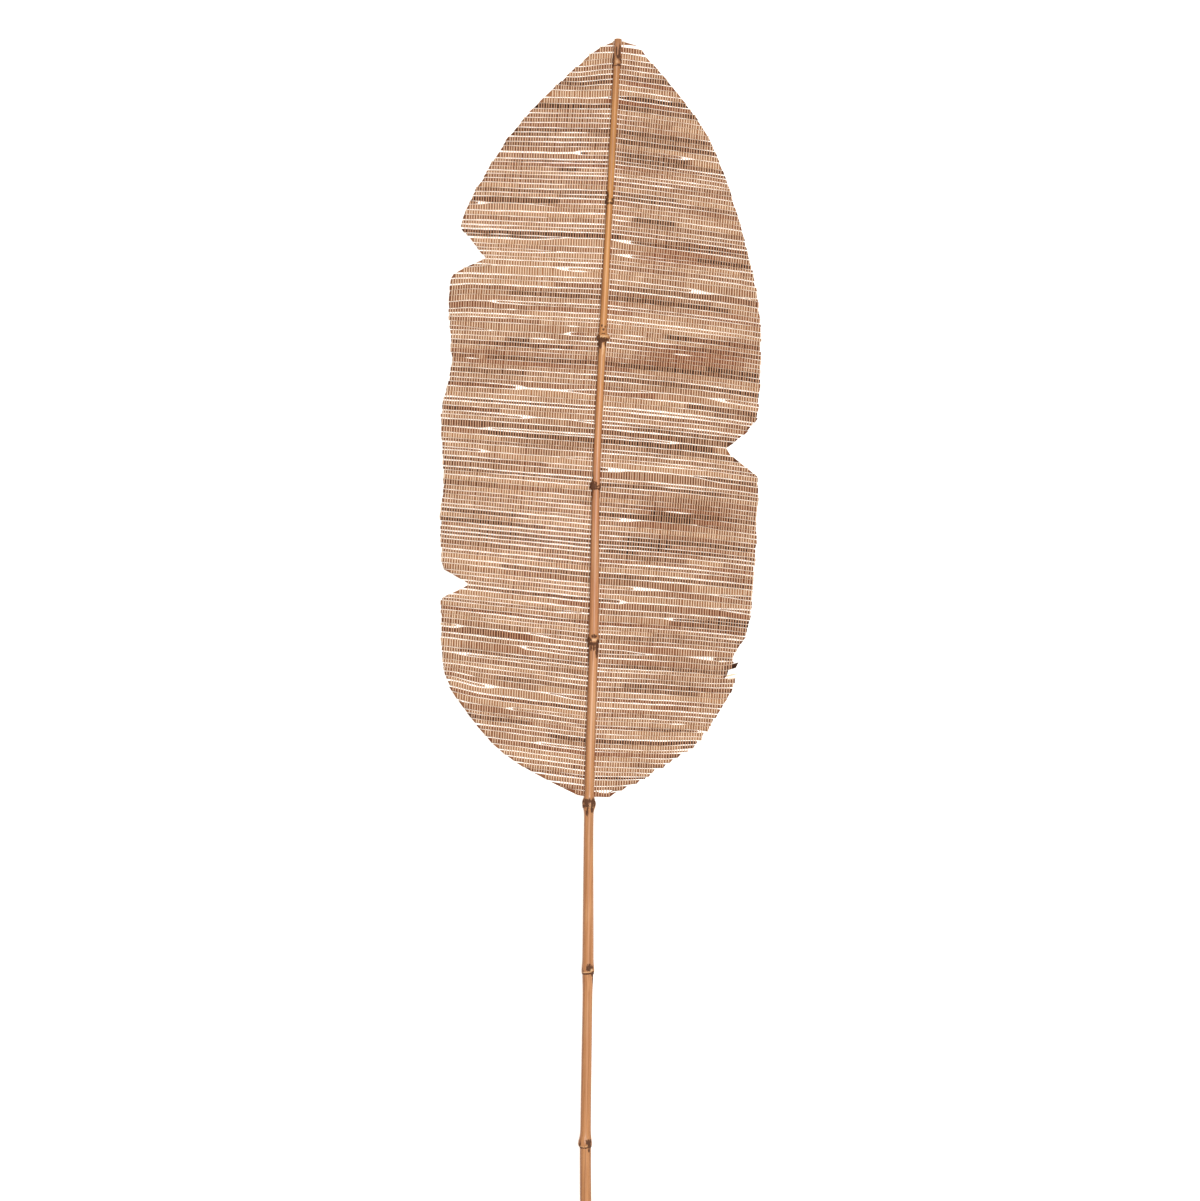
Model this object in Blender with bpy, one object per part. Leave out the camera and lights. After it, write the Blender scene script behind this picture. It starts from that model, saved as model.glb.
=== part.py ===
"""A woven water hyacinth leaf on a bamboo cane, laid on its back with the cane on top.

Metres, +Z up, the tip of the leaf towards +Y. The origin lies under the middle of the whole
length, on the surface that the leaf rests on. The sizes below are in millimetres. Across is
measured to the right and along towards the tip, from the straight line between the two cut
ends of the cane.
"""
import math
import random

import bpy

MM = 0.001

# The straight line between the cane's ends runs this far beside the origin.
CANE_LINE_X = 9.0

# Cane: half its length, how far it bows across at each place along, and its radius there.
CANE_HALF_LENGTH = 750.0
CANE_BOW = [(750, 0.0), (547, -5.2), (377, -9.4), (191, -12.6), (-1, -10.6),
            (-200, -10.9), (-413, -6.7), (-629, -3.9), (-750, 0.0)]
CANE_RADIUS = [(750, 4.7), (722, 4.5), (700, 4.1), (570, 4.1), (547, 4.3), (520, 4.0),
               (400, 4.8), (377, 5.0), (350, 4.6), (191, 4.8), (160, 5.0), (20, 6.1),
               (-1, 6.2), (-30, 5.8), (-206, 6.0), (-240, 6.0), (-395, 7.0), (-413, 7.0),
               (-440, 6.1), (-610, 6.6), (-629, 7.0), (-660, 7.0), (-750, 7.2)]

# Nodes of the cane: place along, reach to the left and right, and length above and below.
NODES = [(722, 5.6, 5.6, 6, 6), (547, 5.7, 5.6, 4, 3), (377, 7.8, 9.6, 4, 3),
         (191, 7.9, 6.1, 5, 4), (-1, 8.2, 7.3, 5, 4), (-206, 8.4, 8.3, 9, 6),
         (-413, 7.9, 8.0, 9, 3), (-629, 9.4, 8.1, 9, 3)]
NODE_FOOT = 1.2
NODE_TOP_SHARE = 0.7

# Buds and branch scars: place along, place across, size and height of each small knob.
BUDS = [(551, -2.0, 2.2, 0.6), (371, -3.5, 2.6, 0.8), (195, -4.0, 3.0, 0.9), (4, 0.8, 2.6, 1.1),
        (-201, -4.5, 3.2, 0.9), (-203, 5.0, 2.8, 0.8), (-410, 3.6, 2.6, 1.0), (-626, 3.2, 2.6, 1.1)]

CANE_SIDES = 18
PITH_RADIUS = 2.0
PITH_DEPTH = 5.0

# Woven mat. Each row of the model stands for two of the real strips.
MAT_THICKNESS = 1.8
ROW_TOP = 740.5
ROW_PITCH = 12.56
ROW_COUNT = 75
SLIT_WIDTH = 2.4
END_SPREAD = 1.0
TOUCH_GAP = 0.3

# Outline of the leaf before it is notched: place along, reach across.
EDGE_LEFT = [(749, -3), (742, -19), (729, -36), (678, -89), (627, -132), (576, -162),
             (525, -187), (430, -203), (340, -198), (280, -208), (190, -203), (150, -206),
             (110, -204), (25, -202), (-38, -198), (-70, -185), (-124, -142), (-148, -115),
             (-172, -74), (-197, -20)]
EDGE_RIGHT = [(749, 4), (744, 23), (731, 35), (682, 79), (633, 115), (584, 138), (534, 155),
              (485, 170), (435, 182), (385, 188), (298, 188), (200, 190), (123, 189),
              (35, 184), (-10, 176), (-53, 166), (-78, 153), (-104, 138), (-129, 118),
              (-155, 81), (-182, 38), (-197, 4)]

# Notches: upper shoulder, deepest point along and across, lower shoulder, and whether the
# edge bends out in a round from the deepest point to the upper and to the lower shoulder.
NOTCHES_LEFT = [(510, 472, -158, 442, False, True), (85, 65, -167, 47, False, False)]
NOTCHES_RIGHT = [(292, 241, 147, 208, True, False), (10, -17, 164, -46, False, False)]

# Fall of the strips to the right, in degrees, near the tip and near the stem.
FALL_FROM = 640.0
FALL_TO = -125.0
FALL_LEFT = (-1.0, 6.0)
FALL_RIGHT = (6.0, 0.5)
FALL_RIGHT_EDGE = 3.5

# Warp bands that hold the rows together, as they lie level with the middle of the leaf.
WARP_BANDS = [-165.0, -110.0, -55.0, 50.0, 100.0, 150.0]
WARP_LEAN = 0.065
WARP_MIDDLE = 270.0
WARP_HALF_WIDTH = 3.0
SPINE_HALF_WIDTH = 5.0
WARP_MARGIN = 4.0

# The mat lies flat under the cane, and its two sides rise a little.
FLAT_REACH = 50.0
RISE_REACH = 200.0
RISE = 6.5
RISE_WAVE = 0.4
RISE_WAVE_LENGTH = 62.0

# Glue dabs under the cane: place along, and their size.
DABS = [634.0, 462.0, 284.0, 95.0, -100.0]
DAB_HALF_LENGTH = 13.0
DAB_WIDTH_SHARE = 0.7
DAB_STEPS = 6

rng = random.Random(7)


def smooth_value(points, place):
    """Value at a place on a smooth curve through (place, value) points in falling order."""
    if place >= points[0][0]:
        return points[0][1]
    if place <= points[-1][0]:
        return points[-1][1]
    i = next(k for k in range(len(points) - 1) if points[k + 1][0] <= place)
    last = len(points) - 1

    def slope(k):
        low, high = max(k - 1, 0), min(k + 1, last)
        return (points[high][1] - points[low][1]) / (points[high][0] - points[low][0])

    (p0, v0), (p1, v1) = points[i], points[i + 1]
    span = p1 - p0
    t = (place - p0) / span
    from_start = (1 + 2 * t) * (1 - t) ** 2 * v0 + t * (1 - t) ** 2 * span * slope(i)
    to_end = t * t * (3 - 2 * t) * v1 - t * t * (1 - t) * span * slope(i + 1)
    return from_start + to_end


def linear_value(points, place):
    """Value at a place on straight stretches through (place, value) points in falling order."""
    if place >= points[0][0]:
        return points[0][1]
    for (p0, v0), (p1, v1) in zip(points, points[1:]):
        if place >= p1:
            return v0 + (v1 - v0) * (place - p0) / (p1 - p0)
    return points[-1][1]


def smooth_step(low, high, value):
    t = min(1.0, max(0.0, (value - low) / (high - low)))
    return t * t * (3 - 2 * t)


def cane_across(along):
    return smooth_value(CANE_BOW, along)


def cane_radius(along):
    return linear_value(CANE_RADIUS, along)


def foot_height(along):
    """Height of the undersides of the nodes: on the mat, and down to the surface at the stem."""
    on_mat = MAT_THICKNESS + TOUCH_GAP
    return on_mat * smooth_step(-640.0, -215.0, along)


def cane_axis_height(along):
    return foot_height(along) + NODE_FOOT + cane_radius(along)


def edge_across(side, along):
    """Reach of the notched leaf edge, on the left for side -1 and on the right for side 1."""
    outline = EDGE_LEFT if side < 0 else EDGE_RIGHT
    notches = NOTCHES_LEFT if side < 0 else NOTCHES_RIGHT
    reach = smooth_value(outline, along)
    for top, deep_along, deep_across, bottom, round_top, round_bottom in notches:
        if not bottom < along < top:
            continue
        above = along > deep_along
        shoulder = top if above else bottom
        is_round = round_top if above else round_bottom
        part = (along - deep_along) / (shoulder - deep_along)
        if is_round:
            part = math.sin(part * math.pi / 2)
        reach = deep_across + (smooth_value(outline, shoulder) - deep_across) * part
    return reach


def is_on_leaf(across, along):
    return edge_across(-1, along) < across < edge_across(1, along)


def strip_rise(across, along):
    """How much higher a strip lies at this place across than where it crosses the cane."""
    toward_stem = min(1.0, max(0.0, (FALL_FROM - along) / (FALL_FROM - FALL_TO)))
    beside_cane = across - cane_across(along)
    near, far = FALL_LEFT if beside_cane < 0 else FALL_RIGHT
    fall = math.tan(math.radians(near + (far - near) * toward_stem)) * beside_cane
    if beside_cane > 0:
        fall += math.tan(math.radians(FALL_RIGHT_EDGE)) * beside_cane ** 3 / (3 * 190.0 ** 2)
    return -fall


def mat_height(across, along):
    """Height of the underside of the mat."""
    beside_cane = across - cane_across(along)
    side = -1 if beside_cane < 0 else 1
    wave = 1 + RISE_WAVE * math.sin(along / RISE_WAVE_LENGTH + side)
    return RISE * wave * smooth_step(FLAT_REACH, RISE_REACH, abs(beside_cane))


def row_end(side, along):
    """Place across where one edge of a row reaches the edge of the leaf."""
    across = cane_across(along)
    step = 1.0
    while step > 0.05:
        beyond = across + side * step
        if is_on_leaf(beyond, along + strip_rise(beyond, along)):
            across = beyond
        else:
            step /= 2
    return across


def warp_across(band, along):
    """Places across of the two edges of a warp band, or of the spine under the cane."""
    if band is None:
        middle = cane_across(along)
        return middle - SPINE_HALF_WIDTH, middle + SPINE_HALF_WIDTH
    middle = band + WARP_LEAN * (along - WARP_MIDDLE)
    return middle - WARP_HALF_WIDTH, middle + WARP_HALF_WIDTH


def mat_sheet():
    """One layer of the mat: rows of strips with slits between, bridged by the warp bands."""
    verts = []
    faces = []
    bands = sorted(WARP_BANDS + [0.0])
    bands = [None if band == 0.0 else band for band in bands]
    half_row = (ROW_PITCH - SLIT_WIDTH) / 2

    def add_point(across, along):
        y = along + strip_rise(across, along)
        verts.append((across, y, mat_height(across, y)))
        return len(verts) - 1

    def add_quad(a, b, c, d):
        faces.append((a, b, c))
        faces.append((a, c, d))

    row_above = {}
    for row in range(ROW_COUNT):
        middle = ROW_TOP - row * ROW_PITCH
        edges = (middle + half_row, middle - half_row)
        trims = [rng.uniform(0.0, END_SPREAD) for _ in range(2)]
        ends = [(row_end(-1, along) + trims[0], row_end(1, along) - trims[1]) for along in edges]
        low = max(end[0] for end in ends) + WARP_MARGIN
        high = min(end[1] for end in ends) - WARP_MARGIN
        held = [band for band in bands
                if all(warp_across(band, along)[0] > low and warp_across(band, along)[1] < high
                       for along in edges)]
        if None not in held:
            held.append(None)
        held.sort(key=lambda band: warp_across(band, middle)[0])
        upper, lower = [], []
        for points, along, end in zip((upper, lower), edges, ends):
            left, right = end
            if len(held) == 1:
                spine = warp_across(None, along)
                left, right = min(left, spine[0] - 1), max(right, spine[1] + 1)
            points.append(add_point(left, along))
            for band in held:
                points.extend(add_point(across, along) for across in warp_across(band, along))
            points.append(add_point(right, along))
        for k in range(len(upper) - 1):
            add_quad(lower[k], lower[k + 1], upper[k + 1], upper[k])
        for order, band in enumerate(held):
            if band in row_above:
                a, b = row_above[band]
                c, d = upper[2 * order + 1], upper[2 * order + 2]
                add_quad(c, d, b, a)
        row_above = {band: (lower[2 * order + 1], lower[2 * order + 2])
                     for order, band in enumerate(held)}
    return verts, faces


def new_material(name, colour, roughness, metallic=0.0):
    material = bpy.data.materials.new(name)
    material.use_nodes = True
    shader = material.node_tree.nodes["Principled BSDF"]
    shader.inputs["Base Color"].default_value = (*colour, 1.0)
    shader.inputs["Roughness"].default_value = roughness
    shader.inputs["Metallic"].default_value = metallic
    return material


def new_object(name, verts, faces, material):
    """An object from points in millimetres, beside the line of the cane."""
    mesh = bpy.data.meshes.new(name)
    mesh.from_pydata([(x * MM, y * MM, z * MM) for x, y, z in verts], [], faces)
    mesh.materials.append(material)
    mesh.validate()
    piece = bpy.data.objects.new(name, mesh)
    piece.location.x = CANE_LINE_X * MM
    bpy.context.collection.objects.link(piece)
    return piece


def build_mat():
    verts, faces = mat_sheet()
    straw = new_material("hyacinth_straw", (0.50, 0.32, 0.20), 0.75)
    mat = new_object("woven_mat", verts, faces, straw)
    thicken = mat.modifiers.new("Thickness", "SOLIDIFY")
    thicken.thickness = MAT_THICKNESS * MM
    thicken.offset = 1.0


def cane_reach(along, angle):
    """Distance of the cane's skin from its axis, at an angle from the right-hand side."""
    radius = cane_radius(along)
    side, up = math.cos(angle), math.sin(angle)
    reach = radius
    for place, left, right, above, below in NODES:
        length = above if along > place else below
        swell = math.exp(-((along - place) / length) ** 2)
        sideways = (right if side > 0 else left) - cane_radius(place)
        if up < 0:
            upright = min(NODE_FOOT, sideways)
        else:
            upright = NODE_TOP_SHARE * sideways
        reach += swell * (sideways * side * side + upright * up * up)
    for place, across, size, height in BUDS:
        if up <= 0:
            continue
        gap = math.hypot(along - place, radius * side - across)
        reach += height * math.exp(-(gap / size) ** 2)
    return reach


def cane_stations():
    """Places along the cane that get a ring of points, close together at the nodes."""
    offsets = (14, 8, 5, 2.5, 0, -2.5, -5, -8, -14)
    places = {place + offset for place, *_ in NODES for offset in offsets}
    starts = [CANE_HALF_LENGTH] + [place - offsets[0] for place, *_ in NODES]
    stops = [place + offsets[0] for place, *_ in NODES] + [-CANE_HALF_LENGTH]
    for start, stop in zip(starts, stops):
        pieces = max(1, round((start - stop) / 45))
        places.update(start + (stop - start) * k / pieces for k in range(pieces + 1))
    return sorted(places, reverse=True)


def build_cane():
    verts = []
    faces = []

    def add_ring(along, reach_at, bevel=0.0):
        """A ring of points; reach_at gives the distance from the axis at an angle."""
        start = len(verts)
        for k in range(CANE_SIDES):
            angle = 2 * math.pi * k / CANE_SIDES
            reach = reach_at(along, angle) - bevel
            verts.append((cane_across(along) + reach * math.cos(angle), along,
                          cane_axis_height(along) + reach * math.sin(angle)))
        return list(range(start, start + CANE_SIDES))

    def pith(along, angle):
        return PITH_RADIUS

    rings = []
    stations = cane_stations()
    rings.append(add_ring(stations[0], cane_reach, bevel=0.6))
    rings.append(add_ring(stations[0] - 0.8, cane_reach))
    rings.extend(add_ring(along, cane_reach) for along in stations[1:-1])
    rings.append(add_ring(stations[-1] + 0.5, cane_reach))
    rings.append(add_ring(stations[-1], cane_reach, bevel=0.4))
    rings.append(add_ring(stations[-1], pith))
    rings.append(add_ring(stations[-1] + PITH_DEPTH, pith))
    for above, below in zip(rings, rings[1:]):
        for k in range(CANE_SIDES):
            m = (k + 1) % CANE_SIDES
            faces.append((above[k], above[m], below[m], below[k]))
    faces.append(tuple(reversed(rings[0])))
    faces.append(tuple(rings[-1]))
    bamboo = new_material("bamboo", (0.60, 0.31, 0.13), 0.42)
    cane = new_object("bamboo_cane", verts, faces, bamboo)
    cane.data.shade_smooth()
    cane.data.set_sharp_from_angle(angle=math.radians(50))


def build_dab(number, place):
    """A dab of glue that lies on the mat and cradles the round underside of the cane."""
    verts = []
    faces = []
    floor = MAT_THICKNESS + TOUCH_GAP
    rows = [(-1.0, 0.45), (-0.6, 0.9), (0.0, 1.0), (0.6, 0.9), (1.0, 0.45)]
    width = DAB_STEPS + 1
    for share, size in rows:
        along = place + share * DAB_HALF_LENGTH
        clear = cane_radius(along) + TOUCH_GAP
        for top in (False, True):
            for k in range(width):
                across = (2 * k / DAB_STEPS - 1) * DAB_WIDTH_SHARE * cane_radius(along) * size
                under_cane = cane_axis_height(along) - math.sqrt(clear ** 2 - across ** 2)
                verts.append((cane_across(along) + across, along, under_cane if top else floor))
    for row in range(len(rows) - 1):
        near, far = row * 2 * width, (row + 1) * 2 * width
        for k in range(DAB_STEPS):
            faces.append((near + k, far + k, far + k + 1, near + k + 1))
            faces.append((near + width + k, near + width + k + 1, far + width + k + 1, far + width + k))
        faces.append((near, near + width, far + width, far))
        k = DAB_STEPS
        faces.append((near + k, far + k, far + width + k, near + width + k))
    last = (len(rows) - 1) * 2 * width
    for k in range(DAB_STEPS):
        faces.append((k, k + 1, width + k + 1, width + k))
        faces.append((last + k, last + width + k, last + width + k + 1, last + k + 1))
    glue = new_material("glue", (0.72, 0.60, 0.36), 0.35)
    new_object(f"glue_dab_{number}", verts, faces, glue)


def main():
    for leftover in list(bpy.data.objects):
        bpy.data.objects.remove(leftover, do_unlink=True)
    build_mat()
    build_cane()
    for number, place in enumerate(DABS, start=1):
        build_dab(number, place)


main()
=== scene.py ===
"""A woven water hyacinth leaf on a bamboo cane.

The leaf lies on its back with the tip towards +Y. Numbers in the code are in millimetres, and
the lengths in the settings are in metres. Across is measured to the right and along towards the
tip, from the straight line between the two cut ends of the cane.
"""
import math

import bpy
import numpy as np
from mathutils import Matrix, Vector


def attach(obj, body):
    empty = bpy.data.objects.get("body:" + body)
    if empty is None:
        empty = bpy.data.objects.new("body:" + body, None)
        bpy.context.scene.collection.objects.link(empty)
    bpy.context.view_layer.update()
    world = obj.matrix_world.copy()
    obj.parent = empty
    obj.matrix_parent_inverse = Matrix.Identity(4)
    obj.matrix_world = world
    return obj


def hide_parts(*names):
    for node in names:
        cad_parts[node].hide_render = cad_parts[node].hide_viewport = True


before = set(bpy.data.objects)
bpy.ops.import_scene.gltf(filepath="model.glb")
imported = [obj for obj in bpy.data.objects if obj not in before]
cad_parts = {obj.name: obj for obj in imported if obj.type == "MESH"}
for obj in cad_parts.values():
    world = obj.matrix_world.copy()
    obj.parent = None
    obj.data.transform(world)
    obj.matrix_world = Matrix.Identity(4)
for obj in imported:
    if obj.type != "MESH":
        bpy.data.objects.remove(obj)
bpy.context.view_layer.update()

bl_info = {
    "name": "Woven hyacinth leaf",
    "version": (1, 0, 0),
    "blender": (4, 5, 0),
    "location": "3D View > Sidebar > Leaf",
    "description": "Weaves a dried water hyacinth leaf on a bamboo cane",
    "category": "Add Mesh",
}

MM = 0.001
BODY = "root"
CANE_LINE_X = 9.0

# Outline of the leaf before it is notched: place along, reach across.
EDGE_LEFT = [(749, -3), (742, -19), (729, -36), (678, -89), (627, -132), (576, -162),
             (525, -187), (430, -203), (340, -198), (280, -208), (190, -203), (150, -206),
             (110, -204), (25, -202), (-38, -198), (-70, -185), (-124, -142), (-148, -115),
             (-172, -74), (-197, -20)]
EDGE_RIGHT = [(749, 4), (744, 23), (731, 35), (682, 79), (633, 115), (584, 138), (534, 155),
              (485, 170), (435, 182), (385, 188), (298, 188), (200, 190), (123, 189),
              (35, 184), (-10, 176), (-53, 166), (-78, 153), (-104, 138), (-129, 118),
              (-155, 81), (-182, 38), (-197, 4)]

# Notches: upper shoulder, deepest point along and across, lower shoulder, and whether the
# edge bends out in a round from the deepest point to the upper and to the lower shoulder.
NOTCHES_LEFT = [(510, 472, -158, 442, False, True), (85, 65, -167, 47, False, False)]
NOTCHES_RIGHT = [(292, 241, 147, 208, True, False), (10, -17, 164, -46, False, False)]

# Fall of the strips to the right, in degrees, near the tip and near the stem, and how much
# steeper they fall at the right-hand edge.
FALL_FROM = 640.0
FALL_TO = -125.0
FALL_LEFT = (-1.0, 6.0)
FALL_RIGHT = (6.0, 0.5)
FALL_RIGHT_EDGE = 3.5
RIGHT_REACH = 190.0

# The mat lies flat under the cane, and its two sides rise a little in a slow wave.
MAT_THICKNESS = 1.8
FLAT_REACH = 50.0
RISE_REACH = 200.0
RISE = 6.5
RISE_WAVE = 0.4
RISE_WAVE_LENGTH = 62.0

# Strips: where they begin and end along the cane, how their width varies, the grid of places
# across on which they are laid out, and how a line of strips is drawn towards a notch.
WEAVE_TOP = 749.8
WEAVE_FOOT = -196.5
TIP_STRIPS = 12
TIP_WIDENING = 0.18
WIDTH_SPREAD = 0.12
GRID_FROM = -222.0
GRID_TO = 214.0
GRID_STEP = 1.0
RING_STEP = 5.0
LEAST_STRIP = 1.4
NOTCH_EASE = 26.0

# Places where the strips lean out of line: across, along, reach each way, and shift along.
BENDS = [(-208, 428, 22, 26, -4.0), (-190, -62, 26, 24, 5.0), (178, -33, 17, 10, 10.0),
         (170, -58, 24, 12, 3.0), (22, 746, 12, 6, 2.4), (128, -138, 34, 22, 5.0),
         (60, -186, 34, 14, 4.0), (-52, 712, 30, 22, -5.0)]

# Openings between strips: across, along, half their length and half their height.
OPENINGS = [(23, 742, 24, 1.9), (38, 732, 18, 1.3), (162, 5, 13, 1.2), (150, -25, 5, 1.1),
            (9, -192, 12, 2.0)]

# Where the mat is woven tighter or looser: the two sides as a whole, and then zones given by
# across, along, reach each way and change of the gaps.
GAP_LEFT = 0.95
GAP_RIGHT = 0.85
GAP_ZONES = [(63, 629, 60, 40, -0.75), (101, 348, 85, 20, -0.9), (107, 147, 65, 38, -0.8),
             (120, -27, 48, 18, -0.7), (-105, 360, 100, 34, -0.5), (-70, 230, 60, 20, -0.4),
             (66, 483, 45, 45, -0.5), (70, 283, 70, 28, 0.35), (84, 84, 60, 20, 0.3),
             (-152, 490, 40, 30, 0.3), (108, -140, 16, 14, 0.9), (82, -157, 16, 12, 1.0),
             (52, -174, 18, 10, 1.0)]

# Strips that end inside the mat: along and across where they end, on which side of the end
# the mat is left open, and how long its neighbours take to close up.
SHORT_STRIPS = [(605, -43, -1, 10), (497, 22, -1, 28), (481, 23, -1, 25), (462, -55, -1, 21),
                (454, 16, -1, 18), (459, 115, -1, 21), (439, 100, 1, 30), (416, -143, -1, 9),
                (385, -50, -1, 10), (312, -116, 1, 15), (300, 146, -1, 25), (251, 79, 1, 15),
                (211, 2, 1, 35), (187, 153, 1, 12), (151, 19, 1, 32), (67, 38, 1, 50),
                (79, 9, -1, 11), (-20, 139, -1, 38), (-63, -144, 1, 18), (11, -183, 1, 11),
                (-131, -73, -1, 10), (-87, -110, -1, 10)]

# Tones that the strips are drawn from and their shares, how much darker the right-hand side is,
# and where across the leaf a strip can change its tone.
STRIP_TONES = [0.95, 0.76, 0.56, 0.34, 0.12]
STRIP_TONE_SHARES = [0.2, 0.3, 0.27, 0.16, 0.07]
RIGHT_TONE = -0.08
SPLITS_BETWEEN = (-200.0, 190.0)

# A strip with an end inside the mat is slender all along and narrows before that end: share of
# the usual width, share left at the end, how far before the end it starts, how far apart such
# ends keep, and the blunt tip.
SLENDER = 0.84
THIN_END = 0.8
THINNING = 60.0
ENDS_APART = 60.0
TIP_SHARE = 0.25
TIP_LENGTH = 6.0

# Section of a strip: for each of six points the share of the width below the upper edge, the
# height as a share of the thickness, and how much painted highlight lightens its long edges there.
STRIP_SHARES = np.array([0.0, 0.1, 0.9, 1.0, 0.9, 0.1])
STRIP_LIFT = np.array([0.0, 0.5, 0.5, 0.0, -0.5, -0.5])
STRIP_EDGE_HIGHLIGHT = np.array([1.0, 0.0, 0.0, 1.0, 0.0, 0.0])

# Warp threads: the run of places where they are set up, how many pieces they are built in, the
# height at which they don't lean aside, how much a strip redder than a limit stains them, how far
# they reach past the first strip, how far the two of a pair lie apart, and how far inside the
# outline they stop.
THREADS_BETWEEN = (-238.0, 238.0)
THREAD_GROUPS = 7
THREAD_LEAN_FROM = 270.0
THREAD_STAIN = 0.6
STAIN_FROM = 0.3
THREAD_TAIL = 0.4
THREAD_SIDESTEP = 0.1
THREAD_INSET = 0.3

# Strips that stand out: from and to across, along at their middle, tone and redness.
MARKED = [(-40, 40, 745, 0.85, 0.1), (162, 172, -26, 0.0, 0.2), (154, 160, -35, 0.02, 0.1),
          (153, 160, -41, 0.05, 0.1), (-156, -14, 250, 0.10, 0.1), (-10, 134, 242, 0.04, 0.0),
          (-9, 181, 208, 0.14, 0.1),
          (-7, 149, 190, 0.16, 0.1), (24, 182, 124, 0.12, 0.1), (4, 118, 631, 0.14, 0.2),
          (4, 124, 617, 0.12, 0.2), (3, 95, 605, 0.16, 0.3), (11, 99, 595, 0.2, 0.3),
          (25, 78, 524, 0.12, 0.1), (36, 146, 422, 0.05, 0.0), (-72, -6, 697, 0.16, 0.1),
          (-126, -8, 635, 0.2, 0.2), (-71, -45, 586, 0.05, 0.1), (-143, -14, 418, 0.66, 0.0),
          (-206, -22, 206, 0.3, 0.1)]

# Wide patches of strips of one colour: across, along, reach each way, tone shift, redness.
PATCHES = [(84, 482, 70, 14, -0.18, 0.85), (110, 358, 76, 16, -0.16, 0.9),
           (92, 155, 68, 15, -0.14, 0.9), (110, 118, 70, 12, -0.14, 0.6),
           (-98, 362, 92, 9, -0.14, 0.6)]

# Strip ends that leave the outline: side, along, reach across of the upper and lower edge.
ODD_ENDS = [(1, -26.0, 171.0, 167.5), (1, -35.0, 158.5, 157.0), (1, -41.0, 157.0, 154.0)]

# Along the lower right-hand edge the ends are torn rather than cut: from across, below along,
# how far the tears reach, and how square they are.
TORN_FROM = (20, -88)
TORN_SPREAD = 3.0
TORN_SQUARE = 0.5

# Cane: half its length, how far it bows across at each place along, and its radius there.
CANE_HALF_LENGTH = 750.0
CANE_BOW = [(750, 0.0), (547, -5.2), (377, -9.4), (191, -12.6), (-1, -10.6),
            (-200, -10.9), (-413, -6.7), (-629, -3.9), (-750, 0.0)]
CANE_RADIUS = [(750, 4.7), (722, 4.5), (700, 4.1), (570, 4.1), (547, 4.3), (520, 4.0),
               (400, 4.8), (377, 5.0), (350, 4.6), (191, 4.8), (160, 5.0), (20, 6.1),
               (-1, 6.2), (-30, 5.8), (-206, 6.0), (-240, 6.0), (-395, 7.0), (-413, 7.0),
               (-440, 6.1), (-610, 6.6), (-629, 7.0), (-660, 7.0), (-750, 7.2)]

# Nodes: place along, reach to the left and to the right, and how far the swelling runs up and
# down the cane. Buds on them: along, across, size and height. Ridge and groove round a node: how
# far below it, half width and height.
NODES = [(722, 5.6, 5.6, 6, 6), (547, 5.7, 5.6, 4, 3), (377, 7.8, 9.6, 4, 3),
         (191, 7.9, 6.1, 5, 4), (-1, 8.2, 7.3, 5, 4), (-206, 8.4, 8.3, 9, 6),
         (-413, 7.9, 8.0, 9, 3), (-629, 9.4, 8.1, 9, 3)]
BUDS = [(551, -2.0, 2.2, 0.6), (371, -3.5, 2.6, 0.8), (195, -4.0, 3.0, 0.9), (4, 0.8, 2.6, 1.1),
        (-201, -4.5, 3.2, 0.9), (-203, 5.0, 2.8, 0.8), (-410, 3.6, 2.6, 1.0), (-626, 3.2, 2.6, 1.1)]
NODE_RIDGE = (2.4, 0.7, 0.28)
NODE_GROOVE = (4.0, 0.9, -0.22)

# How far a node swells under the cane, its swelling on top as a share of that at the sides, the
# gap between nodes and mat, where the stem comes down past the mat, and the hole in its end.
NODE_FOOT = 1.2
NODE_TOP_SHARE = 0.7
TOUCH_GAP = 0.3
STEM_SLOPE = (-640.0, -215.0)
PITH_RADIUS = 2.0
PITH_DEPTH = 5.0

# Spacing of the rings of the cane's mesh, and how near a node they stand closer together.
CANE_RING_STEP = 6.0
NODE_RING_REACH = 18.0
NODE_RING_STEP = 0.75
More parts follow.
